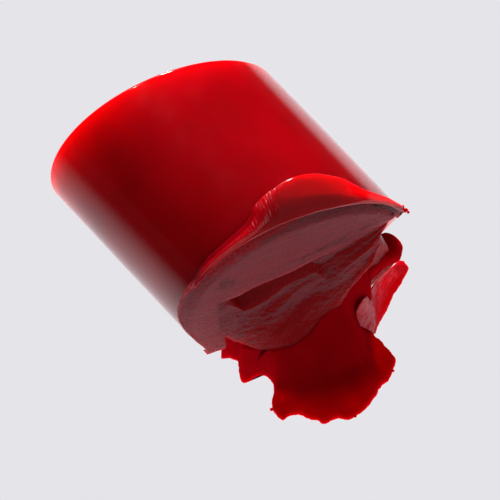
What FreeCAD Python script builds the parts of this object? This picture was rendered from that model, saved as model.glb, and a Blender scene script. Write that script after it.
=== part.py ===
"""A stub of a round, cast stick of solid red colour, lying on a table. One end is a clean slanted
cut. The other end has been pressed down and dragged sideways with a flat blade, so it ends in a
burnished pad with a rolled lip above it, a torn layer below it, and a thin smear on the table.

Frame, in millimetres: X runs along the stick from the cut end to the worn end, Y is the way the
blade went, Z is up. The origin is on the table, under the stick's axis, at the foot of the worn end.
Both ends lean by the same slant: they lie on planes x = offset + slant * y.
"""

import FreeCAD
import Part

import math
import os

# Driving dimensions.
stick_radius = 6.0
axis_height = stick_radius
end_slant = 0.28
cut_end_x = -11.87
worn_face_x = -1.0
cut_rim_radius = 0.15
pad_thickness = 0.4
pad_flange = 0.12
torn_back_x = -3.2
film_thickness = 0.35
lip_root_depth = 0.35
reach = 20.0

# The edge where the pad has sheared off the torn layer, and the torn layer's left side: (y, z).
shear_line = [(-4.1, 6.7), (-1.8, 7.0), (1.1, 7.4), (3.8, 8.2), (7.5, 9.2)]
torn_left_side = [(-3.1, -1.0), (-3.4, 1.2), (-4.0, 2.2)]

# The torn layer, level by level from its toe on the film: height, then how far the worn side stands
# ahead of the slant through the origin at the left edge, on the axis, where the right flank starts
# and at the right edge, and then y at the left edge, at the flank's start and at the right edge.
torn_levels = [
    (0.35, (0.40, 2.30, 1.70, -0.50), (-2.4, 2.3, 3.0)),
    (1.0, (-0.10, 1.30, 0.70, -1.50), (-3.1, 2.6, 3.5)),
    (2.0, (-0.80, 0.40, -0.20, -2.40), (-3.8, 3.2, 4.4)),
    (3.2, (-1.10, -0.45, -0.90, -2.85), (-4.05, 4.0, 5.2)),
    (4.6, (-1.30, -1.05, -1.30, -2.75), (-4.1, 4.6, 5.75)),
    (6.2, (-1.40, -1.40, -1.45, -2.30), (-4.1, 5.0, 5.9)),
    (9.0, (-1.45, -1.45, -1.45, -1.50), (-4.1, 4.8, 5.2)),
]

# The lip: (angle from the top towards +Y in degrees, height above the stick, lean back towards -X).
lip_sections = [
    (-58, 0.12, 0.35),
    (-45, 0.30, 0.50),
    (-31, 0.50, 0.52),
    (-18, 0.75, 0.70),
    (-8, 1.00, 1.20),
    (2, 1.20, 1.62),
    (12, 1.20, 1.58),
    (24, 1.00, 0.90),
    (36, 0.55, 0.30),
    (50, 0.28, 0.18),
    (66, 0.15, 0.12),
]

# The smear's outline on the table, the way round that starts under the stick: (x, y).
film_outline = [
    (-2.7, -3.2), (-1.85, -3.4), (-1.1, -3.8), (-0.75, -3.85), (-0.7, -3.45), (-0.45, -2.8),
    (-0.1, -2.65), (0.35, -2.8), (0.95, -3.4), (1.35, -3.7), (2.1, -3.7), (2.2, -3.1),
    (2.75, -2.65), (3.55, -2.25), (3.85, -1.4), (4.2, -1.1), (4.25, 0.0), (4.0, 0.85),
    (3.7, 1.85), (3.15, 2.85), (2.3, 3.0), (1.3, 3.0), (0.4, 3.7), (-0.9, 4.2), (-2.4, 4.4),
]

# The lump left at the side below the pad: its centre line (x, y, z) and radius at each end.
lobe_start = (-1.0, 4.3, 3.5)
lobe_end = (-0.4, 5.1, 4.05)
lobe_radius = 0.72

# The curled flake: (x, y, z) along its outer edge and along its inner edge, and its thickness.
flake_outer_edge = [(-0.35, 6.5, 1.1), (0.15, 6.1, 1.3), (0.75, 4.9, 0.9), (1.3, 3.3, 0.55)]
flake_inner_edge = [(-0.85, 5.9, 1.3), (-0.7, 4.8, 1.0), (-0.1, 3.7, 0.8), (0.75, 2.8, 0.6)]
flake_thickness = 0.3

# Crumbs at the lip's tip and on the film's edge: (x, y, z, radius).
crumbs = [
    (0.12, 5.5, 8.85, 0.13),
    (0.42, 5.62, 8.68, 0.15),
    (0.62, 5.7, 8.36, 0.13),
    (0.38, 5.75, 8.12, 0.11),
    (1.3, -3.78, 0.17, 0.13),
    (4.32, -0.75, 0.16, 0.12),
    (3.52, 2.4, 0.16, 0.12),
]


def vector(x, y, z):
    return FreeCAD.Vector(x, y, z)


def closed_polygon(points):
    return Part.makePolygon(points + points[:1])


def prism(points, direction):
    return Part.Face(closed_polygon(points)).extrude(direction)


def slanted_slab(low_x, high_x):
    """Everything between the two slanted planes that cross the stick's axis at low_x and high_x."""
    side = reach / 2
    corners = [
        vector(low_x - end_slant * side, -side, -1),
        vector(high_x - end_slant * side, -side, -1),
        vector(high_x + end_slant * side, side, -1),
        vector(low_x + end_slant * side, side, -1),
    ]
    return prism(corners, vector(0, 0, reach))


def round_bar(radius):
    """A bar round the stick's axis, longer than the stick at both ends."""
    return Part.makeCylinder(radius, 2 * reach, vector(-reach, 0, axis_height), vector(1, 0, 0))


def torn_column():
    """The space below the shear line, seen along X, where the torn layer shows."""
    outline = shear_line + [(7.5, -1.0)] + torn_left_side
    return prism([vector(-reach, y, z) for y, z in outline], vector(2 * reach, 0, 0))


def ball(x, y, z, radius):
    return Part.makeSphere(radius, vector(x, y, z))


def on_lip(angle, x, radius):
    turn = math.radians(angle)
    return vector(x, radius * math.sin(turn), axis_height + radius * math.cos(turn))


def face_x(angle):
    """Where the worn face meets the stick's side at an angle from the top."""
    return worn_face_x + end_slant * stick_radius * math.sin(math.radians(angle))


def make_stub():
    side_step = torn_column().common(slanted_slab(torn_back_x, reach / 2))
    stub = round_bar(stick_radius).common(slanted_slab(cut_end_x, worn_face_x - pad_thickness))
    far_edges = [e for e in stub.Edges if e.BoundBox.XMax < cut_end_x + 2 and e.Length > stick_radius]
    return stub.makeFillet(cut_rim_radius, far_edges).cut(side_step)


def make_pad():
    disc = round_bar(stick_radius + pad_flange)
    slab = slanted_slab(worn_face_x - pad_thickness, worn_face_x)
    return disc.common(slab).cut(torn_column())


def make_film():
    return prism([vector(x, y, 0) for x, y in film_outline], vector(0, 0, film_thickness))


def torn_outline(height, ahead, sides):
    left_y, flank_y, right_y = sides
    corners = [(torn_back_x, left_y), (ahead[0], left_y), (ahead[1], 0), (ahead[2], flank_y)]
    corners += [(ahead[3], right_y), (torn_back_x, right_y)]
    return closed_polygon([vector(x + end_slant * y, y, height) for x, y in corners])


def make_torn_layer():
    body = Part.makeLoft([torn_outline(*level) for level in torn_levels], True, True)
    return body.common(torn_column())


def lip_wire(angle, height, lean):
    front = face_x(angle)
    top = stick_radius + height
    inner = stick_radius - lip_root_depth
    section = [
        (front, inner),
        (front + 0.02, stick_radius + 0.15 * height),
        (front - 0.45 * lean, stick_radius + 0.75 * height),
        (front - 0.95 * lean, top),
        (front - lean - 0.08, top - 0.12 * height),
        (front - 0.9 * lean - 0.1, stick_radius + 0.3 * height),
        (front - lean - 0.2, stick_radius - 0.1),
        (front - lean - 0.2, inner),
    ]
    return closed_polygon([on_lip(angle, x, r) for x, r in section])


def make_lip():
    return Part.makeLoft([lip_wire(*section) for section in lip_sections], True, True)


def make_lobe():
    start, end = vector(*lobe_start), vector(*lobe_end)
    bar = Part.makeCylinder(lobe_radius, (end - start).Length, start, end - start)
    return bar.fuse(ball(*lobe_start, lobe_radius)).fuse(ball(*lobe_end, lobe_radius)).removeSplitter()


def make_flake():
    wires = []
    for outer, inner in zip(flake_outer_edge, flake_inner_edge):
        lift = vector(0, 0, flake_thickness / 2)
        a, b = vector(*outer), vector(*inner)
        wires.append(closed_polygon([a - lift, a + lift, b + lift, b - lift]))
    return Part.makeLoft(wires, True, True)


def make_crumbs():
    return [ball(*crumb) for crumb in crumbs]


def without(shape, *others):
    """The shape less every neighbour, so that the two meet face to face."""
    for other in others:
        shape = shape.cut(other)
    return shape


def export(name, shapes):
    solids = [solid for shape in shapes for solid in shape.Solids]
    whole = solids[0] if len(solids) == 1 else Part.makeCompound(solids)
    whole.exportStep(os.path.join("parts", name + ".step"))
    volume = sum(solid.Volume for solid in solids)
    print(f"{name}: {len(solids)} solids, {volume:.2f} mm3, valid {whole.isValid()}")


def main():
    os.makedirs("parts", exist_ok=True)
    stub = make_stub()
    pad = make_pad()
    film = without(make_film(), stub)
    torn = without(make_torn_layer(), stub, pad, film)
    lip = without(make_lip(), stub, pad, torn)
    lobe = without(make_lobe(), stub, pad, torn)
    flake = without(make_flake(), stub, torn, film, lobe)
    loose = [without(crumb, pad, lip, film, stub) for crumb in make_crumbs()]
    export("stick_stub", [stub])
    export("burnished_pad", [pad])
    export("smear_film", [film])
    export("torn_layer", [torn])
    export("rolled_lip", [lip])
    export("side_lobe", [lobe])
    export("curled_flake", [flake])
    export("edge_crumbs", loose)


main()
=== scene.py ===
"""The looks of the colour-stick stub: a glossy cast stick with a clean slanted cut at one end, and at
the other a matte pad that a blade burnished, a rolled lip, a torn layer and a smear on the table.

Shapes are worked out in millimetres in the part's own frame (X along the stick, Y the way the blade
went, Z up) and scaled to metres when a mesh is made.
"""

import math

import bmesh
import bpy
import numpy as np
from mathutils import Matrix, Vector, noise


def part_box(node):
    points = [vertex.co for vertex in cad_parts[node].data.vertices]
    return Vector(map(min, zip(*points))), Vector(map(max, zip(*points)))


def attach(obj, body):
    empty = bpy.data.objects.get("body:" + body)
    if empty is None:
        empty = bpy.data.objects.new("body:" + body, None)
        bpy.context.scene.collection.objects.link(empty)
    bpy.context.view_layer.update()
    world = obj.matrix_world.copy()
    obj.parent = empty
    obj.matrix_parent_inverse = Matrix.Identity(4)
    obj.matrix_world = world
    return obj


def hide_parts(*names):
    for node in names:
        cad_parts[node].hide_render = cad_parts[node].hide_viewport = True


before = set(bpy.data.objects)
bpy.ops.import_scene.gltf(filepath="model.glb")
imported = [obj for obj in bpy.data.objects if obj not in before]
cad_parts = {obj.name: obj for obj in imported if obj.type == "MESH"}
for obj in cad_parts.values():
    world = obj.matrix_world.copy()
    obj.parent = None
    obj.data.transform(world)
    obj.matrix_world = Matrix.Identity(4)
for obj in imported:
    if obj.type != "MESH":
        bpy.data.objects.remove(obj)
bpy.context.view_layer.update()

MM = 0.001
END_SLANT = 0.28  # both ends of the stick lie on planes x = offset + slant * y

stub_low, stub_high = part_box("stick_stub")
RADIUS = (stub_high.z - stub_low.z) / 2 / MM
AXIS_Z = (stub_high.z + stub_low.z) / 2 / MM
CUT_X = stub_low.x / MM + END_SLANT * RADIUS
FACE_X = -1.0  # where the worn face crosses the stick's axis


# Numbers and curves ---------------------------------------------------------------------------


def smooth_table(table, at, column=1):
    """A smooth curve through rows of (position, value, value, ...), read at each position."""
    rows = np.array(table, float)
    x, y = rows[:, 0], rows[:, column]
    step = np.diff(x)
    slope = np.diff(y) / step
    tangent = np.zeros(len(x))
    tangent[0], tangent[-1] = slope[0], slope[-1]
    same_way = slope[:-1] * slope[1:] > 0
    mean = 2 * slope[:-1] * slope[1:] / np.where(same_way, slope[:-1] + slope[1:], 1)
    tangent[1:-1] = np.where(same_way, mean, 0)
    at = np.clip(np.asarray(at, float), x[0], x[-1])
    i = np.clip(np.searchsorted(x, at) - 1, 0, len(step) - 1)
    t = (at - x[i]) / step[i]
    value = (1 + 2 * t) * (1 - t) ** 2 * y[i] + t * t * (3 - 2 * t) * y[i + 1]
    return value + step[i] * (t * (1 - t) ** 2 * tangent[i] - t * t * (1 - t) * tangent[i + 1])


def spline(points, count, closed=False):
    """Count points, evenly spaced along a smooth curve through the given points."""
    p = np.array(points, float)
    n = len(p)
    spans = n if closed else n - 1
    if closed:
        before, here, after, beyond = np.roll(p, 1, 0), p, np.roll(p, -1, 0), np.roll(p, -2, 0)
    else:
        ends = np.vstack([2 * p[0] - p[1], p, 2 * p[-1] - p[-2]])
        before, here, after, beyond = ends[:-3], ends[1:-2], ends[2:-1], ends[3:]
    t = np.linspace(0, 1, 24, endpoint=False)[None, :, None]
    a, b, c, d = (q[:spans, None, :] for q in (before, here, after, beyond))
    dense = 0.5 * (2 * b + (c - a) * t + (2 * a - 5 * b + 4 * c - d) * t**2)
    dense = (dense + 0.5 * (3 * b - a - 3 * c + d) * t**3).reshape(-1, p.shape[1])
    dense = np.vstack([dense, p[:1] if closed else p[-1:]])
    along = np.r_[0, np.cumsum(np.linalg.norm(np.diff(dense, axis=0), axis=1))]
    stops = np.linspace(0, along[-1], count, endpoint=not closed)
    return np.stack([np.interp(stops, along, dense[:, k]) for k in range(p.shape[1])], -1)


def rounded(loops, rounds=3):
    """Closed loops of points with their corners cut off again and again, so they turn softly."""
    for _ in range(rounds):
        ahead = np.roll(loops, -1, axis=1)
        cut = np.stack([0.75 * loops + 0.25 * ahead, 0.25 * loops + 0.75 * ahead], axis=2)
        loops = cut.reshape(len(loops), -1, loops.shape[-1])
    return loops


def ease(value, low, high):
    """0 below low, 1 above high and a smooth step between."""
    t = np.clip((np.asarray(value, float) - low) / (high - low), 0, 1)
    return t * t * (3 - 2 * t)


def bumps(points, size, octaves=1, seed=0.0):
    """Smooth noise between about -1 and 1 at each point. Size is the features' size in mm, one
    number or one per axis."""
    scaled = (np.asarray(points) / np.asarray(size) + seed).reshape(-1, 3)
    values = [noise.fractal(Vector(p), 1.0, 2.0, octaves) for p in scaled]
    return np.array(values).reshape(np.shape(points)[:-1])


def around_stick(angle, x, radius):
    """Points round the stick's axis, at an angle in degrees from the top towards +Y."""
    turn = np.radians(angle)
    x, y, z = np.broadcast_arrays(x, radius * np.sin(turn), AXIS_Z + radius * np.cos(turn))
    return np.stack([x, y, z], -1)


# Meshes ---------------------------------------------------------------------------------------


def normals_of(loops):
    """The outward direction at each point of a loft."""
    across = np.roll(loops, -1, axis=1) - np.roll(loops, 1, axis=1)
    along = np.gradient(loops, axis=0)
    n = np.cross(across, along)
    return n / np.maximum(np.linalg.norm(n, axis=-1, keepdims=True), 1e-9)


def piece_from(name, points, faces, node, material):
    """A smooth-shaded mesh that stands for a CAD node and rides where that node does."""
    mesh = bpy.data.meshes.new(name)
    mesh.from_pydata((np.asarray(points) * MM).tolist(), [], faces)
    mesh.validate()
    shell = bmesh.new()
    shell.from_mesh(mesh)
    bmesh.ops.recalc_face_normals(shell, faces=shell.faces)
    shell.to_mesh(mesh)
    shell.free()
    mesh.shade_smooth()
    mesh.materials.append(material)
    piece = bpy.data.objects.new(name, mesh)
    bpy.context.scene.collection.objects.link(piece)
    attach(piece, "root")
    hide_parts(node)
    return piece


def loft(name, loops, node, material):
    """A closed skin over closed loops of points, with a fan at each end."""
    count, size = loops.shape[:2]
    i, j = np.meshgrid(np.arange(count - 1), np.arange(size), indexing="ij")
    k = (j + 1) % size
    quads = np.stack([i * size + j, (i + 1) * size + j, (i + 1) * size + k, i * size + k], -1)
    faces = quads.reshape(-1, 4).tolist()
    first, last = count * size, count * size + 1
    for a in range(size):
        b = (a + 1) % size
        faces.append((first, a, b))
        faces.append((last, (count - 1) * size + b, (count - 1) * size + a))
    points = np.vstack([loops.reshape(-1, 3), loops[0].mean(0), loops[-1].mean(0)])
    return piece_from(name, points, faces, node, material)


# Materials ------------------------------------------------------------------------------------


class Surface:
    """A material being put together from nodes. Patterns are placed by the part's own frame."""

    def __init__(self, name):
        self.material = bpy.data.materials.new(name)
        self.material.use_nodes = True
        self.nodes = self.material.node_tree.nodes
        self.links = self.material.node_tree.links
        self.shader = self.nodes["Principled BSDF"]
        coordinates = self.nodes.new("ShaderNodeTexCoord")
        self.place = coordinates.outputs["Object"]
        self.facing = coordinates.outputs["Normal"]

    def join(self, source, target):
        if isinstance(source, (int, float)):
            target.default_value = source
        else:
            self.links.new(source, target)

    def noise(self, size_mm, detail=2.0, rough=0.5, turn=(0, 0, 0)):
        """Noise with features of this size, one number or one per axis after turning."""
        size = (size_mm,) * 3 if isinstance(size_mm, (int, float)) else size_mm
        place = self.nodes.new("ShaderNodeMapping")
        place.inputs["Rotation"].default_value = [math.radians(a) for a in turn]
        place.inputs["Scale"].default_value = [1 / (s * MM) for s in size]
        self.join(self.place, place.inputs["Vector"])
        texture = self.nodes.new("ShaderNodeTexNoise")
        texture.inputs["Scale"].default_value = 1.0
        texture.inputs["Detail"].default_value = detail
        texture.inputs["Roughness"].default_value = rough
        self.join(place.outputs["Vector"], texture.inputs["Vector"])
        return texture.outputs["Fac"]

    def spread(self, value, low, high, to_low=0.0, to_high=1.0):
        """A value stretched from one range to another, smoothly and without going past it."""
        node = self.nodes.new("ShaderNodeMapRange")
        node.interpolation_type = "SMOOTHSTEP"
        self.join(value, node.inputs["Value"])
        ends = {"From Min": low, "From Max": high, "To Min": to_low, "To Max": to_high}
        for label, number in ends.items():
            node.inputs[label].default_value = number
        return node.outputs["Result"]

    def sum(self, a, b, how="ADD"):
        node = self.nodes.new("ShaderNodeMath")
        node.operation = how
        self.join(a, node.inputs[0])
        self.join(b, node.inputs[1])
        return node.outputs["Value"]

    def along(self, direction, vector=None):
        """How far along a direction each point lies, in mm, or how much of another vector does."""
        node = self.nodes.new("ShaderNodeVectorMath")
        node.operation = "DOT_PRODUCT"
        node.inputs[1].default_value = direction if vector else [d / MM for d in direction]
        self.join(vector or self.place, node.inputs[0])
        return node.outputs["Value"]

    def radius(self):
        """How far from the stick's axis each point lies, in mm."""
        across = self.nodes.new("ShaderNodeMapping")
        across.inputs["Location"].default_value = (0, 0, -AXIS_Z)
        across.inputs["Scale"].default_value = (0, 1 / MM, 1 / MM)
        self.join(self.place, across.inputs["Vector"])
        node = self.nodes.new("ShaderNodeVectorMath")
        node.operation = "LENGTH"
        self.join(across.outputs["Vector"], node.inputs[0])
        return node.outputs["Value"]

    def blend(self, factor, first, second):
        node = self.nodes.new("ShaderNodeMix")
        node.data_type = "RGBA"
        self.join(factor, node.inputs["Factor"])
        node.inputs["A"].default_value = (*first, 1)
        node.inputs["B"].default_value = (*second, 1)
        return node.outputs["Result"]

    def bump(self, height, depth_mm, under=None):
        node = self.nodes.new("ShaderNodeBump")
        node.inputs["Distance"].default_value = depth_mm * MM
        self.join(height, node.inputs["Height"])
        if under is not None:
            self.join(under, node.inputs["Normal"])
        return node.outputs["Normal"]


def soft_colour(name, glow_mm):
    """The stick's own stuff: deep red, waxy, and lit from inside where it is thin."""
    surface = Surface(name)
    shader = surface.shader
    shader.inputs["Subsurface Weight"].default_value = 1.0
    shader.inputs["Subsurface Radius"].default_value = (1.0, 0.1, 0.1)
    shader.inputs["Subsurface Scale"].default_value = glow_mm * MM
    shader.inputs["IOR"].default_value = 1.45
    return surface


CAST_RED = (0.42, 0.001, 0.005)
DEEP_RED = (0.36, 0.001, 0.004)
LIP_RED = (0.44, 0.001, 0.008)
LIP_DEEP_RED = (0.40, 0.001, 0.006)
# The pad's matte colour: the scuffed wax's pinkish grey, and partly a painted sheen standing in for the
# pale floor's reflection.
BURNISHED_ROSE_AND_SHEEN = (0.30, 0.03, 0.045)
# The bright red the pad turns near the lip: a painted glow, for light shining through the thin wax
# there.
LIP_GLOW_RED = (0.75, 0.008, 0.02)
# The torn face's matte colour: pinkish grey, partly its own and partly a painted sheen standing in for
# the pale floor's reflection.
TORN_ROSE_AND_SHEEN = (0.27, 0.055, 0.066)
# The flake's reds, much brighter than the smear's: partly a painted glow, for light shining through the
# thin sheet.
THIN_GLOW_RED = (0.75, 0.006, 0.03)
THIN_GLOW_DEEP_RED = (0.6, 0.004, 0.02)


def cloudy(surface, size_mm, light, dark):
    """A base colour that drifts between two tones."""
    clouds = surface.spread(surface.noise(size_mm, detail=3.0), 0.35, 0.65)
    surface.join(surface.blend(clouds, light, dark), surface.shader.inputs["Base Color"])


def cast_material(name, glow_mm, light, dark, shine):
    """Colour as the mould left it: glossy, with a slight swell and a very fine grain."""
    surface = soft_colour(name, glow_mm)
    shader = surface.shader
    cloudy(surface, 3.0, light, dark)
    surface.join(surface.spread(surface.noise(0.8), 0.3, 0.7, 0.09, 0.14), shader.inputs["Roughness"])
    shader.inputs["Specular IOR Level"].default_value = shine
    swell = surface.bump(surface.noise((4.0, 1.2, 1.2), detail=1.0), 0.004)
    surface.join(surface.bump(surface.noise(0.12, detail=3.0), 0.0012, swell), shader.inputs["Normal"])
    return surface.material


def matte_from_lip(surface, ragged):
    """1 on most of the worn face, falling to 0 over a ragged strip along the lip."""
    towards_lip = surface.along((0, -0.32, 0.70))
    nearer = surface.sum(towards_lip, surface.sum(ragged, 0.25, "MULTIPLY"))
    return surface.spread(surface.sum(surface.radius(), nearer), 12.9, 14.0, 1.0, 0.0)


def matte_above(surface, ragged, smooth_below):
    """1 where the face stands upright, falling to 0 towards a slanted line and where it looks up."""
    level = surface.sum(surface.along((0, 0, 1)), 3.2 - smooth_below)
    lowest = surface.sum(surface.along((0, -0.95, 1)), level, "MINIMUM")
    # Upright faces keep the matte colour with its painted sheen; faces that look up lose it.
    upright = surface.spread(surface.along((0, 0, 1), surface.facing), 0.15, 0.55, 1.0, 0.1)
    height = surface.spread(surface.sum(lowest, ragged), 1.8, 4.4)
    return surface.sum(height, upright, "MULTIPLY")


def burnished_material(name, roughest, shine, light, deep, turn, smooth_below=None):
    """Colour that a blade has dragged and burnished: dull, finely grained and faintly streaked at an
    angle. Its matte colour is partly a painted sheen, a pinkish grey standing in for the pale floor's
    reflection. It turns smooth and takes the second colour close to the lip, which on the pad is a
    painted glow of bright red. If smooth_below is given, it turns smooth low down and where the face
    looks up instead: smooth_below is about the height in mm at which the change is half done."""
    surface = soft_colour(name, 1.0)
    shader = surface.shader
    tilt = (turn, 0, 0)
    streaks = surface.noise((0.15, 2.4, 0.15), detail=3.0, turn=tilt)
    patches = surface.noise((0.5, 1.8, 0.5), detail=3.0, turn=tilt)
    grain = surface.noise(0.10, detail=3.0)
    edge = surface.noise((0.3, 1.2, 0.3), detail=4.0, turn=tilt)
    ragged = surface.spread(edge, 0.25, 0.75, -0.7, 0.7)
    if smooth_below is None:
        matte = matte_from_lip(surface, ragged)
    else:
        matte = matte_above(surface, ragged, smooth_below)
    faint = surface.spread(streaks, 0.3, 0.7, 0.0, 0.07)
    tone = surface.sum(surface.spread(patches, 0.3, 0.7, 0.0, 0.12), faint)
    # Where the face turns smooth the colour goes over to the second one: near the lip on the pad that is
    # a painted glow.
    tone = surface.sum(tone, surface.spread(matte, 0, 1, 1, 0), "MAXIMUM")
    surface.join(surface.blend(tone, light, deep), shader.inputs["Base Color"])
    polish = surface.spread(grain, 0.3, 0.7, -0.12, 0.0)
    rough = surface.sum(polish, surface.spread(matte, 0, 1, 0.34, roughest))
    surface.join(rough, shader.inputs["Roughness"])
    shader.inputs["Specular IOR Level"].default_value = shine
    lines = surface.bump(streaks, 0.008)
    speckle = surface.bump(surface.sum(grain, matte, "MULTIPLY"), 0.2, lines)
    surface.join(speckle, shader.inputs["Normal"])
    return surface.material


def smeared_material(name, glow_mm, shine, light, dark):
    """Colour pressed out under the blade: smooth, deep and lit through where it is thin."""
    surface = soft_colour(name, glow_mm)
    shader = surface.shader
    cloudy(surface, 1.5, light, dark)
    surface.join(surface.spread(surface.noise(0.6), 0.3, 0.7, 0.2, 0.3), shader.inputs["Roughness"])
    shader.inputs["Specular IOR Level"].default_value = shine
    surface.join(surface.bump(surface.noise(0.5, detail=3.0), 0.01), shader.inputs["Normal"])
    return surface.material


# Pieces ---------------------------------------------------------------------------------------


# How far behind the worn face the stick's own side ends, by angle from the top: just behind the pad
# and the lip above, and torn further back below that.
STUB_END = [
    (-180, 2.2), (-140, 2.2), (-126, 0.42), (62, 0.42), (70, 0.44), (80, 0.85), (91, 1.32),
    (101, 1.68), (108, 1.86), (113, 2.06), (125, 2.2), (180, 2.2),
]
CUT_ROUNDING = 0.15  # the radius of the edge round the far cut
HIDDEN_ROUNDING = 0.12  # the radius of the edge behind the pad
BOWL_DEPTH = 1.6  # the hidden near end is hollowed, so that it doesn't glow through the torn layer


def make_stub(material):
    """The cast stick: slightly uneven round the side, a knife-cut far end and a torn near end."""
    angles = np.linspace(-180, 180, 481)[:-1]
    level = 0 * angles
    end_x = FACE_X - smooth_table(STUB_END, angles)
    rows = [(CUT_X + level, r + level) for r in np.linspace(0.02, RADIUS - CUT_ROUNDING, 24)[:-1]]
    for turn in np.radians(np.linspace(90, 0, 9)):
        x = CUT_X + CUT_ROUNDING * (1 - math.sin(turn))
        rows.append((x + level, RADIUS - CUT_ROUNDING * (1 - math.cos(turn)) + level))
    side_start = CUT_X + CUT_ROUNDING
    side_end = end_x - HIDDEN_ROUNDING
    for share in np.linspace(0, 1, 130)[1:]:
        rows.append((side_start + (side_end - side_start) * share, RADIUS + level))
    for turn in np.radians(np.linspace(0, 90, 6))[1:]:
        x = end_x - HIDDEN_ROUNDING * (1 - math.sin(turn))
        rows.append((x, RADIUS - HIDDEN_ROUNDING * (1 - math.cos(turn)) + level))
    for r in np.linspace(RADIUS - HIDDEN_ROUNDING, 0.02, 30)[1:]:
        rows.append((end_x - BOWL_DEPTH * ease(RADIUS - r, 0.4, 1.6), r + level))
    x, radius = (np.array(part) for part in zip(*rows))
    loops = around_stick(angles[None, :], x, radius)
    loops[..., 0] += END_SLANT * loops[..., 1]
    outward = loops * [0, 1, 1] - [0, 0, AXIS_Z]
    outward /= np.linalg.norm(outward, axis=-1, keepdims=True)
    side = ease(radius, RADIUS - 0.5, RADIUS)
    loops += outward * (side * (0.03 * bumps(loops, (5.0, 4.0, 4.0)) - 0.02))[..., None]
    return loft("cast_stick", loops, "stick_stub", material)


def face_x(y):
    """Where the worn face lies at each y."""
    return FACE_X + END_SLANT * y


# The pad's outer edge: its radius by angle from the top. Under the lip it is tucked inside the stick.
PAD_RIM = [
    (-130, 6.30), (-124, 6.02), (-117, 5.94), (-107, 5.93), (-96, 6.04), (-80, 6.10), (-62, 6.06),
    (-52, 5.98), (-37, 5.92), (-23, 5.86), (-14, 5.80), (-6, 5.75), (0, 5.72), (15, 5.74), (26, 5.78),
    (34, 5.86), (47, 5.98), (60, 6.08), (66, 6.14), (70, 6.22),
]

# The pad's lower edge, from the lower left corner up the side and along the tear: (y, z).
PAD_EDGE = [
    (-4.89, 1.94), (-4.35, 1.90), (-3.90, 2.00), (-4.02, 3.30), (-4.22, 4.90), (-4.28, 6.30),
    (-4.16, 6.70), (-3.26, 6.68), (-2.60, 6.86), (-1.81, 7.0), (-0.65, 7.08), (0.30, 7.28),
    (1.20, 7.48), (1.90, 7.50), (2.63, 7.73), (3.14, 7.92), (3.82, 8.24), (4.5, 8.42), (5.1, 8.5),
    (5.62, 8.46),
]
PAD_THICKNESS = 0.34
FLANGE_THICKNESS = 0.13
RIM_BEND = 0.40  # how far the pad's upper rim bends back, to go under the lip


def make_pad(material):
    """The burnished plate between the worn rim and the tear: a flat matte face with a thin flange."""
    count, rows, edge_rows = 560, 60, 7
    angle = np.linspace(-130, 68, count)
    outer = around_stick(angle, 0, smooth_table(PAD_RIM, angle))[:, 1:]
    inner = spline(PAD_EDGE, count)
    inner[:, 1] += 0.03 * bumps(np.c_[np.zeros(count), inner], 0.25, 3)
    outer += (0.02 * bumps(np.c_[np.zeros(count), outer], 0.3, 3))[:, None]
    across = np.linspace(0, 1, rows)[:, None]
    face = outer[:, None] * (1 - across) + inner[:, None] * across
    inner_edge = np.repeat(inner[:, None], edge_rows, 1)
    outer_edge = np.repeat(outer[:, None], edge_rows, 1)
    y_z = np.concatenate([face, inner_edge, face[:, ::-1], outer_edge], 1)
    edge_share = np.linspace(0, 1, edge_rows + 2)[1:-1]
    depth = np.concatenate([
        np.zeros(rows),
        PAD_THICKNESS * edge_share,
        np.linspace(PAD_THICKNESS, FLANGE_THICKNESS, rows),
        FLANGE_THICKNESS * edge_share[::-1],
    ])
    from_rim = np.linalg.norm(y_z - outer[:, None], axis=-1)
    bend = RIM_BEND * (1 - ease(from_rim, 0, 0.9)) * ease(y_z[..., 1], 3.0, 6.5)
    x = face_x(y_z[..., 0]) - depth - bend
    loops = np.concatenate([x[..., None], y_z], -1)
    front = loops[:, :rows]
    front[..., 0] += 0.018 * bumps(front, (3.0, 3.0, 0.35), 3, 5.0)
    return loft("burnished_face", loops, "burnished_pad", material)


# The lip, by angle from the top: its root's height above the stick's side, its crest's place ahead of
# the worn face and height above the side, the width of the crest's rounded shoulder, the back foot's
# place ahead of the worn face, and the crest's thickness. Below and behind are negative.
LIP = [
    (-62, -0.04, -0.30, 0.04, 0.06, -0.44, 0.08),
    (-57, -0.08, -0.36, 0.12, 0.10, -0.60, 0.10),
    (-52, -0.12, -0.38, 0.18, 0.14, -0.70, 0.12),
    (-45, -0.16, -0.38, 0.21, 0.16, -0.76, 0.12),
    (-37, -0.20, -0.38, 0.23, 0.18, -0.80, 0.12),
    (-29, -0.24, -0.38, 0.26, 0.24, -0.88, 0.14),
    (-22, -0.26, -0.40, 0.32, 0.36, -1.02, 0.18),
    (-17, -0.28, -0.50, 0.46, 0.56, -1.30, 0.24),
    (-12, -0.30, -0.74, 0.76, 0.76, -1.66, 0.32),
    (-7, -0.31, -1.04, 1.02, 0.62, -1.80, 0.42),
    (-2, -0.32, -1.36, 1.13, 0.30, -1.56, 0.54),
    (3, -0.34, -1.54, 1.19, 0.18, -1.38, 0.60),
    (8, -0.34, -1.60, 1.20, 0.12, -1.24, 0.60),
    (13, -0.34, -1.48, 1.19, 0.10, -1.12, 0.56),
    (19, -0.32, -1.20, 1.10, 0.10, -0.98, 0.46),
    (25, -0.28, -0.82, 0.98, 0.08, -0.80, 0.30),
    (29, -0.24, -0.54, 0.78, 0.06, -0.66, 0.18),
    (35, -0.18, -0.36, 0.54, 0.05, -0.54, 0.09),
    (43, -0.12, -0.26, 0.37, 0.04, -0.44, 0.06),
    (55, -0.06, -0.18, 0.24, 0.03, -0.36, 0.05),
    (67, -0.06, -0.16, 0.15, 0.03, -0.28, 0.04),
]
WRINKLE_LENGTH = 0.17
WRINKLE_HEIGHT = 0.026


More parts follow.
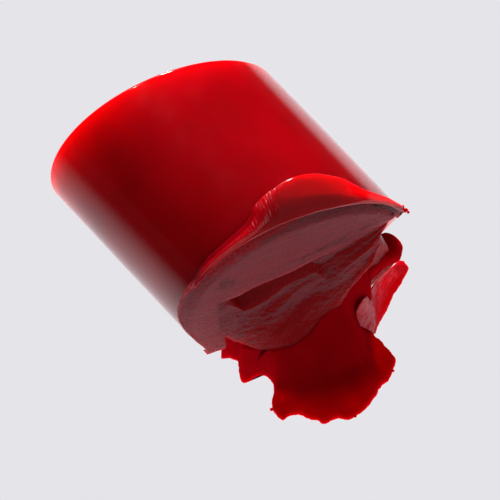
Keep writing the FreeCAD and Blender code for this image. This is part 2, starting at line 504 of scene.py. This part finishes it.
def wrinkles(angle, ahead, above, crest_x, shoulder):
    """The height of the fine folds that run over the lip's crest, left of the petal."""
    arc = (np.radians(angle) * RADIUS)[:, None]
    crest_x, shoulder = crest_x[:, None], shoulder[:, None]
    slide = 0.35 * (ahead - crest_x)
    place = np.stack([(arc + slide) / 0.45, ahead / 0.5, 0 * slide], -1)
    phase = 2 * math.pi * (arc + slide) / WRINKLE_LENGTH + 3.0 * bumps(place, 1.0, 2, 3.0)
    from_middle = (ahead - (crest_x - 0.15 * shoulder)) / (0.3 + 0.8 * shoulder)
    near = np.exp(-(from_middle**2)) * ease(above, 0.12, 0.3)
    where = (ease(angle, -56, -30) * (1 - ease(angle, -5, 0)))[:, None]
    patchy = 0.6 + 0.4 * ease(bumps(place, (2.0, 3.0, 1.0), 1, 8.0), -0.3, 0.3)
    return WRINKLE_HEIGHT * np.sin(phase) * near * where * patchy


def make_lip(material):
    """The rolled lip: a bead at the left that rises into a wrinkled shoulder and a thin curled petal."""
    angle = np.linspace(LIP[0][0], LIP[-1][0], 1300)
    columns = (smooth_table(LIP, angle, k) for k in range(1, 7))
    root_r, crest_x, crest_r, shoulder, foot_x, width = columns
    level = 0 * angle
    length = np.hypot(crest_x, crest_r - root_r)
    out_x, out_r = crest_x / length, (crest_r - root_r) / length
    sag = 0.10 * np.minimum(length, 1.2)
    end_x, end_r = crest_x - 0.95 * shoulder, crest_r - 0.32 * shoulder
    section = [
        (level - 0.42, root_r - 0.25),
        (level - 0.19, root_r),
        (level - 0.20, root_r + 0.24),
        (0.5 * length * out_x - sag * out_r, root_r + 0.5 * length * out_r + sag * out_x),
        (crest_x - 0.5 * width * out_x, crest_r - 0.5 * width * out_r),
        (crest_x, crest_r),
        (0.5 * (crest_x + end_x), 0.5 * (crest_r + end_r) + 0.02),
        (end_x, end_r),
        (end_x - 0.1 * width, end_r - 0.8 * width),
        (0.5 * (end_x + foot_x) - 0.2 * width, 0.45 * end_r),
        (foot_x - 0.02, level + 0.05),
        (foot_x, level - 0.15),
        (foot_x + 0.1, level - 0.4),
        (level - 0.3, level - 0.5),
    ]
    flat = rounded(np.stack([np.stack(p, -1) for p in section], 1), 4)
    ahead, above = flat[..., 0], flat[..., 1]
    y = RADIUS * np.sin(np.radians(angle))[:, None]
    loops = around_stick(angle[:, None], face_x(y) + ahead, RADIUS + above)
    loops += normals_of(loops) * wrinkles(angle, ahead, above, crest_x, shoulder)[..., None]
    loops += normals_of(loops) * (0.02 * bumps(loops, 0.9, 2))[..., None]
    return loft("rolled_edge", loops, "rolled_lip", material)


# The torn face. HOLLOW says how far it stands ahead of the worn face at each height: upright above,
# it sweeps out to the smear below. SPREAD says how much of that sweep there is at each y.
HOLLOW = [
    (0.26, 5.2), (0.34, 4.4), (0.5, 3.8), (0.8, 3.25), (1.2, 2.8), (1.8, 2.25), (2.6, 1.62),
    (3.4, 1.06), (4.0, 0.68), (4.6, 0.35), (5.4, 0.1), (6.4, 0.0), (9.0, -0.04),
]
SPREAD = [
    (-4.4, 0.04), (-3.8, 0.16), (-3.4, 0.34), (-2.8, 0.64), (-2.0, 0.86), (-1.0, 0.98), (1.0, 1),
    (1.6, 0.88), (2.1, 0.62), (2.6, 0.40), (3.2, 0.26), (4.3, 0.16),
]

# Just under the pad's edge the face is torn back into a ledge. By y: the height of the pad's edge, of
# the ledge's front and of its foot, how deep it is, and how far ahead the face stands below it.
LEDGE = [
    (-4.4, 6.60, 6.50, 6.40, 0.00, 0.0), (-3.7, 6.66, 6.40, 6.10, 0.10, 0.0),
    (-3.4, 6.70, 6.20, 5.70, 0.50, 0.0), (-2.9, 6.80, 5.85, 5.12, 0.95, 0.0),
    (-2.0, 6.98, 6.00, 5.28, 0.85, 0.0), (-1.3, 7.04, 6.25, 5.65, 0.66, 0.0),
    (-0.8, 7.08, 6.40, 5.90, 0.55, 0.0), (0.0, 7.22, 6.60, 6.14, 0.46, 0.05),
    (0.65, 7.36, 6.80, 6.35, 0.30, 0.15), (1.2, 7.46, 6.45, 5.55, 0.14, 0.30),
    (1.8, 7.52, 6.90, 6.05, 0.08, 0.48), (2.4, 7.66, 7.25, 6.55, 0.06, 0.50),
    (3.0, 7.88, 7.60, 6.95, 0.06, 0.44), (3.7, 8.18, 7.95, 7.30, 0.06, 0.32),
    (4.4, 8.40, 8.15, 7.60, 0.06, 0.14), (5.6, 8.46, 8.25, 7.80, 0.06, 0.0),
]

# Ridges and valleys on the torn face: (y, z) along each, and its width and height.
CREASES = [
    ([(4.0, 6.6), (3.3, 5.8), (2.45, 4.9), (1.66, 4.1), (1.0, 3.3)], 0.34, 0.20),
    ([(1.1, 6.2), (-0.4, 5.3), (-1.6, 4.6), (-2.6, 3.9)], 0.34, 0.12),
    ([(1.6, 5.0), (0.4, 4.6), (-1.0, 3.9), (-2.2, 3.2)], 0.24, -0.10),
    ([(-3.6, 5.6), (-3.5, 4.5), (-3.7, 3.3), (-3.6, 2.4)], 0.16, 0.10),
]

# The torn layer's sides, by height: y at the left edge, where the right flank begins and at the right
# edge, and how much further back the right edge lies than the flank's start.
TORN = [
    (1.2, -0.4, 2.4, 2.6, 0.9), (1.6, -1.0, 2.7, 2.9, 1.2), (2.2, -2.4, 3.0, 3.2, 1.4),
    (3.0, -3.8, 3.75, 3.95, 1.6), (3.5, -4.15, 4.55, 4.75, 1.6), (3.9, -4.20, 4.95, 5.15, 1.6),
    (4.4, -4.23, 5.0, 5.2, 1.6), (5.0, -4.27, 4.8, 5.0, 1.5), (5.6, -4.30, 4.7, 4.95, 1.4),
    (6.4, -4.30, 4.4, 4.7, 1.3), (7.1, -4.28, 4.0, 4.3, 1.1), (7.6, -4.25, 4.15, 4.5, 0.9),
    (8.1, -4.22, 4.6, 4.9, 0.7), (8.8, -4.20, 4.9, 5.2, 0.6),
]
TORN_BACK = 2.2  # how far behind the worn face the layer's hidden back lies

# Where the smear's glossy skin ends on the torn face: (y, z).
SKIN_LINE = [
    (-4.4, 2.0), (-3.4, 2.4), (-2.0, 2.4), (-0.5, 2.8), (0.5, 3.4), (1.9, 3.9), (3.2, 4.9), (4.3, 6.2),
]

TEAR_START = (5.6, 8.7)  # the streaks fan out from this corner: (y, z)


def streaks(y, z, fine, long, seed):
    """Noise drawn out along the lines that fan from the tear's start."""
    side, down = TEAR_START[0] - y, TEAR_START[1] - z
    turn, reach = np.arctan2(down, side), np.hypot(side, down)
    return bumps(np.stack([0 * y, 6 * turn / fine, reach / long], -1), 1.0, 4, seed)


def crease(y, z, line, width, height):
    """A ridge or valley along a line, fading at both ends."""
    path = spline(line, 60)
    gap = np.full(np.shape(y), 1e3)
    strength = np.zeros(np.shape(y))
    for share, (path_y, path_z) in zip(np.linspace(0, 1, 60), path):
        here = np.hypot(y - path_y, z - path_z)
        strength = np.where(here < gap, ease(share, 0, 0.25) * ease(1 - share, 0, 0.3), strength)
        gap = np.minimum(gap, here)
    return height * strength * np.exp(-((gap / width) ** 2))


def torn_front(y, z):
    """How far the torn face stands ahead of the worn face."""
    ahead = smooth_table(HOLLOW, z) * smooth_table(SPREAD, y)
    edge, shelf, foot, depth, step = (smooth_table(LEDGE, y, k) for k in range(1, 6))
    tread = 1 - np.clip((shelf - z) / (shelf - foot), 0, 1)
    tread = np.where(z > shelf, 1, tread)
    ahead -= depth * tread * ease(edge - z, -0.5, -0.1)
    line = smooth_table(SKIN_LINE, y)
    ahead += step * (1 - tread) * ease(z, line - 0.3, line + 1.0)
    for path, width, height in CREASES:
        ahead += crease(y, z, path, width, height)
    rough = ease(z, line - 0.3, line + 1.2)
    ahead += rough * 0.07 * streaks(y, z, 0.5, 3.0, 9.0)
    return ahead


def make_torn_layer(material):
    """The face under the tear: matte and dragged sideways, deeper just below the pad's edge."""
    height = np.linspace(TORN[-1][0], TORN[0][0], 330)
    columns = (smooth_table(TORN, height, k)[:, None] for k in range(1, 5))
    left_y, flank_y, right_y, right_depth = columns
    y = left_y + (right_y - left_y) * np.linspace(0, 1, 420)[None, :]
    z = np.repeat(height[:, None], y.shape[1], 1)
    past = y - flank_y
    past = 0.5 * (past + np.sqrt(past**2 + 0.004))  # 0 before the flank, turning in softly
    ahead = torn_front(np.minimum(y, flank_y), z) - past * right_depth / (right_y - flank_y)
    front = np.stack([face_x(y) + ahead, y, z], -1)
    front[..., 0] += 0.025 * bumps(front, 0.22, 3, 1.0) * ease(z, 2.5, 4.0)
    back = np.stack([face_x(y) - TORN_BACK, y, z], -1)[:, ::-1]
    return loft("torn_face", np.concatenate([front, back], 1), "torn_layer", material)


# The smear's outline on the table: (x, y).
FILM = [
    (-2.7, -3.2), (-2.3, -3.42), (-1.9, -3.3), (-1.4, -3.62), (-0.85, -3.88), (-0.66, -3.5),
    (-0.68, -3.16), (-0.47, -2.78), (-0.2, -2.66), (0.26, -2.76), (0.63, -3.06), (1.0, -3.46),
    (1.3, -3.68), (1.7, -3.74), (2.1, -3.68), (2.13, -3.3), (2.33, -2.86), (2.75, -2.67),
    (3.23, -2.33), (3.55, -2.26), (3.7, -1.77), (3.85, -1.38), (4.18, -1.11), (4.25, -0.5),
    (4.22, 0.1), (4.0, 0.8), (3.77, 1.34), (3.7, 1.9), (3.4, 2.46), (3.14, 2.83), (2.87, 2.96),
    (2.3, 3.0), (1.7, 3.04), (1.28, 3.0), (0.4, 3.6), (-0.9, 4.1), (-2.4, 4.2),
]
FILM_CENTRE = (0.2, 0.3)
FILM_EDGE = 0.24  # how far in from its edge the film has rounded up to its full height


def film_height(x, y):
    """How high the smear's upper side stands: it follows the torn face, a skin's thickness ahead of
    it up to the skin line, and hidden behind it above that."""
    rise = np.array(HOLLOW)[::-1]
    ahead = x - face_x(y)
    spread = smooth_table(SPREAD, y)
    bare = smooth_table(rise[:, ::-1], ahead / spread)
    line = smooth_table(SKIN_LINE, y)
    shift = 0.05 - 0.17 * ease(bare, line - 0.2, line + 0.5)
    return np.minimum(smooth_table(rise[:, ::-1], (ahead - shift) / spread), line + 0.9)


def make_film(material):
    """The smear: thin and gently uneven, flat below, with a rounded and finely ragged edge."""
    count = 1000
    edge = spline(FILM, count, closed=True)
    outward = edge - FILM_CENTRE
    reach = np.linalg.norm(outward, axis=1)
    outward /= reach[:, None]
    flat = np.c_[edge, np.zeros(count)]
    edge += outward * (0.05 * bumps(flat, 0.35, 4) + 0.02 * bumps(flat, 0.08, 2))[:, None]
    inset = np.array([0, 0.015, 0.04, 0.07, 0.11, 0.16, 0.22, 0.3, 0.4])
    near = 1 - inset / reach[:, None]
    deep = near[:, -1:] * np.linspace(1, 0.01, 110)[None, 1:]
    share = np.concatenate([near, deep], 1).T
    depth = (1 - share) * reach[None, :]
    top = np.empty((*share.shape, 3))
    top[..., :2] = np.array(FILM_CENTRE) + (edge - FILM_CENTRE)[None] * share[..., None]
    lift = np.sqrt(1 - (1 - np.clip(depth / FILM_EDGE, 0, 1)) ** 2)
    top[..., 2] = 0
    wave = bumps(top, 1.3, 3, 2.0)
    climb = film_height(top[..., 0], top[..., 1])
    top[..., 2] = 0.02 + (climb - 0.02) * lift + 0.06 * wave * ease(depth, 0.05, 0.6)
    rings = np.linspace(0.01, 1, 5)[:-1, None, None]
    under = np.array(FILM_CENTRE) + (edge - FILM_CENTRE)[None] * rings
    under = np.concatenate([under, np.zeros((4, count, 1))], -1)
    rim = np.c_[edge, np.zeros(count)][None]
    loops = np.concatenate([under, rim, top], 0)
    return loft("table_smear", loops[::-1], "smear_film", material)


# The lobe's centre line: (x, y, z) from inside the torn layer to the rounded end.
LOBE_LINE = [(-0.75, 3.2, 3.2), (-0.50, 4.0, 4.0), (-0.22, 4.90, 4.56)]
LOBE_RADIUS = 0.82


def make_lobe(material):
    """The lump at the side: a blunt finger of soft colour squeezed out from the torn layer."""
    count = 40
    line = spline(LOBE_LINE, count)
    along = line[-1] - line[0]
    along /= np.linalg.norm(along)
    side = np.cross(along, (0, 0, 1))
    side /= np.linalg.norm(side)
    over = np.cross(side, along)
    turns = np.linspace(0, 2 * math.pi, 97)[:-1]
    ring = side * np.cos(turns)[:, None] + over * np.sin(turns)[:, None]
    round_end = np.radians(np.linspace(0, 88, 24))[1:]
    centres = np.vstack([line, line[-1] + LOBE_RADIUS * np.sin(round_end)[:, None] * along])
    size = LOBE_RADIUS * np.r_[np.ones(count), np.cos(round_end)]
    loops = centres[:, None] + ring[None] * size[:, None, None]
    swell = 0.10 * bumps(loops, 0.7, 2, 4.0) + 0.02 * bumps(loops, 0.16, 2, 4.0)
    loops += ring[None] * (swell * ease(size, 0, 0.5)[:, None])[..., None]
    return loft("side_lump", loops, "side_lobe", material)


# The flake, row by row from its tip to its foot: the outer edge, the middle of the sheet, the fold
# and the edge of the curled wing.
FLAKE = [
    ((-0.40, 6.28, 1.60), (-0.50, 6.22, 1.62), (-0.56, 6.16, 1.60), (-0.60, 6.10, 1.62)),
    ((0.02, 6.24, 1.50), (-0.20, 5.98, 1.46), (-0.34, 5.72, 1.62), (-0.44, 5.52, 1.86)),
    ((0.28, 5.60, 1.20), (-0.02, 5.34, 1.16), (-0.22, 5.08, 1.50), (-0.30, 4.84, 2.24)),
    ((0.50, 4.94, 1.00), (0.20, 4.66, 0.96), (-0.02, 4.40, 1.46), (-0.10, 4.22, 2.40)),
    ((0.72, 4.42, 0.82), (0.44, 4.14, 0.84), (0.26, 3.88, 1.40), (0.20, 3.46, 2.42)),
    ((0.92, 3.98, 0.65), (0.70, 3.70, 0.74), (0.62, 3.44, 1.36), (0.56, 2.72, 2.92)),
    ((1.12, 3.40, 0.45), (1.02, 3.22, 0.60), (1.00, 3.06, 1.10), (0.72, 2.20, 2.48)),
    ((1.34, 3.00, 0.32), (1.30, 2.88, 0.40), (1.26, 2.78, 0.62), (1.00, 2.16, 1.70)),
]
FLAKE_THICKNESS = 0.12


def make_flake(material):
    """A thin sheet lifted from the smear: its inner side folds up into a curled wing."""
    rows = np.array(FLAKE)
    count = 70
    edges = np.stack([spline(rows[:, k], 240) for k in range(4)], 1)
    sheet = np.stack([spline(row, count) for row in edges])
    sheet += 0.05 * bumps(sheet, 0.5, 3, 2.0)[..., None] * [0.3, 0.3, 1]
    ragged = 0.05 * bumps(sheet[:, -1], 0.16, 3, 6.0)
    sheet[:, -8:, 2] += ragged[:, None] * np.linspace(0, 1, 8)
    frill = 0.04 * bumps(sheet[:, 0], 0.3, 3, 6.0)
    sheet[:, :6, 0] += frill[:, None] * np.linspace(1, 0, 6)
    across = np.gradient(sheet, axis=1)
    along = np.gradient(sheet, axis=0)
    facing = np.cross(across, along)
    facing /= np.linalg.norm(facing, axis=-1, keepdims=True)
    facing *= np.sign(facing[..., 2:3].mean())
    share = np.linspace(0, 1, count)
    taper = np.sqrt(np.clip(1 - np.abs(2 * share - 1) ** 8, 0.02, 1))
    half = 0.5 * FLAKE_THICKNESS * taper[None, :, None] * facing
    loops = np.concatenate([sheet + half, (sheet - half)[:, ::-1]], 1)
    loops[..., 2] = np.maximum(loops[..., 2], 0.02)
    return loft("lifted_flake", loops, "curled_flake", material)


# The crumbs, at the lip's tip and along the smear's edge: (x, y, z, radius).
CRUMBS = [
    (0.26, 5.5, 8.82, 0.07), (0.42, 5.60, 8.62, 0.09), (0.52, 5.64, 8.46, 0.07),
    (0.36, 5.6, 8.44, 0.06), (1.3, -3.74, 0.1, 0.08), (4.26, -0.75, 0.08, 0.07),
    (3.46, 2.4, 0.08, 0.07),
]


def make_crumbs(material):
    """A knobbly little ball for each crumb, all in one mesh."""
    rings, spokes = 12, 20
    tilt = np.linspace(0.02, math.pi - 0.02, rings)[:, None]
    turns = np.linspace(0, 2 * math.pi, spokes + 1)[:-1]
    across = np.sin(tilt)
    ball = np.stack([across * np.cos(turns), across * np.sin(turns), np.cos(tilt) + 0 * turns], -1)
    points, faces = [], []
    for x, y, z, size in CRUMBS:
        crumb = ball * size
        crumb *= 1 + 0.35 * bumps(crumb + [x, y, z], 0.12, 2)[..., None]
        corners = len(points) + np.arange(rings * spokes).reshape(rings, spokes)
        beside = np.roll(corners, -1, axis=1)
        quads = np.stack([corners[:-1], corners[1:], beside[1:], beside[:-1]], -1)
        points += (crumb + [x, y, max(z, size * 1.1)]).reshape(-1, 3).tolist()
        faces += quads.reshape(-1, 4).tolist()
        faces.append(corners[0].tolist())
        faces.append(corners[-1, ::-1].tolist())
    return piece_from("crumbs", points, faces, "edge_crumbs", material)


# Studio ---------------------------------------------------------------------------------------

PALE = (0.783, 0.776, 0.815)
VIEW_AZIMUTH, VIEW_ELEVATION = 50.68, 60.0
PICTURE_WIDTH = 25.21
VIEW_CENTRE = (-1.3, 0, 0)
VIEW_SHIFT = (-2.32, 4.236)  # how far the picture's middle lies right of and above that, in mm
LONG_LENS, SENSOR_WIDTH = 500.0, 36.0


def make_camera():
    """A long lens looking down on the worn end, level and with everything sharp."""
    turn, rise = math.radians(VIEW_AZIMUTH), math.radians(VIEW_ELEVATION)
    level = math.cos(rise)
    back = Vector((math.sin(turn) * level, -math.cos(turn) * level, math.sin(rise)))
    right = Vector((math.cos(turn), math.sin(turn), 0))
    up = back.cross(right)
    data = bpy.data.cameras.new("camera")
    data.lens, data.sensor_width = LONG_LENS, SENSOR_WIDTH
    data.clip_start, data.clip_end = 0.02, 5.0
    distance = PICTURE_WIDTH * LONG_LENS / SENSOR_WIDTH
    middle = Vector(VIEW_CENTRE) + right * VIEW_SHIFT[0] + up * VIEW_SHIFT[1]
    camera = bpy.data.objects.new("camera", data)
    camera.location = (middle + back * distance) * MM
    camera.rotation_euler = (-back).to_track_quat("-Z", "Y").to_euler()
    bpy.context.scene.collection.objects.link(camera)
    bpy.context.scene.camera = camera


def seen_or_felt(tree, seen, felt):
    """One shader for what the camera sees, and another for what lights and mirrors in the part."""
    path = tree.nodes.new("ShaderNodeLightPath")
    mix = tree.nodes.new("ShaderNodeMixShader")
    tree.links.new(path.outputs["Is Camera Ray"], mix.inputs["Fac"])
    tree.links.new(felt, mix.inputs[1])
    tree.links.new(seen, mix.inputs[2])
    return mix.outputs["Shader"]


FLOOR_HALF = 3.0  # metres
FLOOR_Z = -2e-6  # metres: just under the part
GLOW_RADIUS = 0.040  # metres: the floor glows round the part and fades out from there
GLOW_CENTRE_Y = 0.008


def make_floor():
    """A pale floor. To the camera it is one even colour; to the part it glows nearby."""
    mesh = bpy.data.meshes.new("floor")
    corners = [(-1, -1), (1, -1), (1, 1), (-1, 1)]
    mesh.from_pydata([(x * FLOOR_HALF, y * FLOOR_HALF, FLOOR_Z) for x, y in corners], [], [(0, 1, 2, 3)])
    floor = bpy.data.objects.new("floor", mesh)
    bpy.context.scene.collection.objects.link(floor)
    material = bpy.data.materials.new("floor")
    material.use_nodes = True
    tree = material.node_tree
    tree.nodes.clear()
    seen = tree.nodes.new("ShaderNodeEmission")
    seen.inputs["Color"].default_value = (*PALE, 1)
    glow = tree.nodes.new("ShaderNodeEmission")
    glow.inputs["Color"].default_value = (*PALE, 1)
    place = tree.nodes.new("ShaderNodeTexCoord")
    shift = tree.nodes.new("ShaderNodeMapping")
    shift.inputs["Location"].default_value = (0, -GLOW_CENTRE_Y / GLOW_RADIUS, 0)
    shift.inputs["Scale"].default_value = (1 / GLOW_RADIUS, 1 / GLOW_RADIUS, 1)
    length = tree.nodes.new("ShaderNodeVectorMath")
    length.operation = "LENGTH"
    fall = tree.nodes.new("ShaderNodeMapRange")
    fall.interpolation_type = "SMOOTHERSTEP"
    for label, number in {"From Min": 0.35, "From Max": 1.1, "To Min": 1.35, "To Max": 0.05}.items():
        fall.inputs[label].default_value = number
    tree.links.new(place.outputs["Object"], shift.inputs["Vector"])
    tree.links.new(shift.outputs["Vector"], length.inputs[0])
    tree.links.new(length.outputs["Value"], fall.inputs["Value"])
    tree.links.new(fall.outputs["Result"], glow.inputs["Strength"])
    out = tree.nodes.new("ShaderNodeOutputMaterial")
    shader = seen_or_felt(tree, seen.outputs["Emission"], glow.outputs["Emission"])
    tree.links.new(shader, out.inputs["Surface"])
    mesh.materials.append(material)


def make_world():
    """The background: the floor's colour to the camera, and nearly dark to the part."""
    world = bpy.data.worlds.new("studio")
    bpy.context.scene.world = world
    world.use_nodes = True
    tree = world.node_tree
    tree.nodes.clear()
    dim = tree.nodes.new("ShaderNodeBackground")
    dim.inputs["Color"].default_value = (0.006, 0.006, 0.006, 1)
    pale = tree.nodes.new("ShaderNodeBackground")
    pale.inputs["Color"].default_value = (*PALE, 1)
    out = tree.nodes.new("ShaderNodeOutputWorld")
    shader = seen_or_felt(tree, pale.outputs["Background"], dim.outputs["Background"])
    tree.links.new(shader, out.inputs["Surface"])


LIT_POINT = (-5, 0, 5)
LIGHT_DISTANCE = 150


def make_light(name, direction, size, watts):
    """A round soft light that stands off in a direction, faces the part and can't be seen."""
    data = bpy.data.lights.new(name, "AREA")
    data.shape = "DISK"
    data.size = size * MM
    data.energy = watts
    light = bpy.data.objects.new(name, data)
    towards = Vector(direction).normalized()
    light.location = (Vector(LIT_POINT) + towards * LIGHT_DISTANCE) * MM
    light.rotation_euler = towards.to_track_quat("Z", "Y").to_euler()
    light.visible_camera = False
    bpy.context.scene.collection.objects.link(light)


# The whole ------------------------------------------------------------------------------------

cast = cast_material("cast_colour", 7.5, CAST_RED, DEEP_RED, shine=0.5)
rolled = cast_material("rolled_colour", 2.4, LIP_RED, LIP_DEEP_RED, shine=0.3)
# The pad: its matte colour is partly a painted sheen, and its red near the lip a painted glow.
burnished = burnished_material("burnished_colour", 0.60, 0.38, BURNISHED_ROSE_AND_SHEEN, LIP_GLOW_RED, turn=5)
# The torn face: its matte colour on upright faces is partly a painted sheen.
torn = burnished_material("torn_colour", 0.66, 0.12, TORN_ROSE_AND_SHEEN, DEEP_RED, turn=-42, smooth_below=3.4)
smeared = smeared_material("smeared_colour", 1.3, 0.0, CAST_RED, DEEP_RED)
# The flake's brighter reds are partly a painted glow.
thin = smeared_material("thin_colour", 0.5, 0.2, THIN_GLOW_RED, THIN_GLOW_DEEP_RED)

make_stub(cast)
make_pad(burnished)
make_lip(rolled)
make_torn_layer(torn)
make_film(smeared)
make_lobe(smeared)
make_flake(thin)
make_crumbs(smeared)

make_camera()
make_floor()
make_world()
make_light("key", (-0.76, 0.43, 0.49), 24, 0.33)
make_light("side", (0.45, -0.85, 0.30), 240, 0.06)
make_light("glint", (-0.60, -0.07, 0.79), 4, 0.06)
make_light("front", (0.80, 0.35, 0.50), 300, 0.06)
bpy.context.scene.view_settings.view_transform = "Standard"
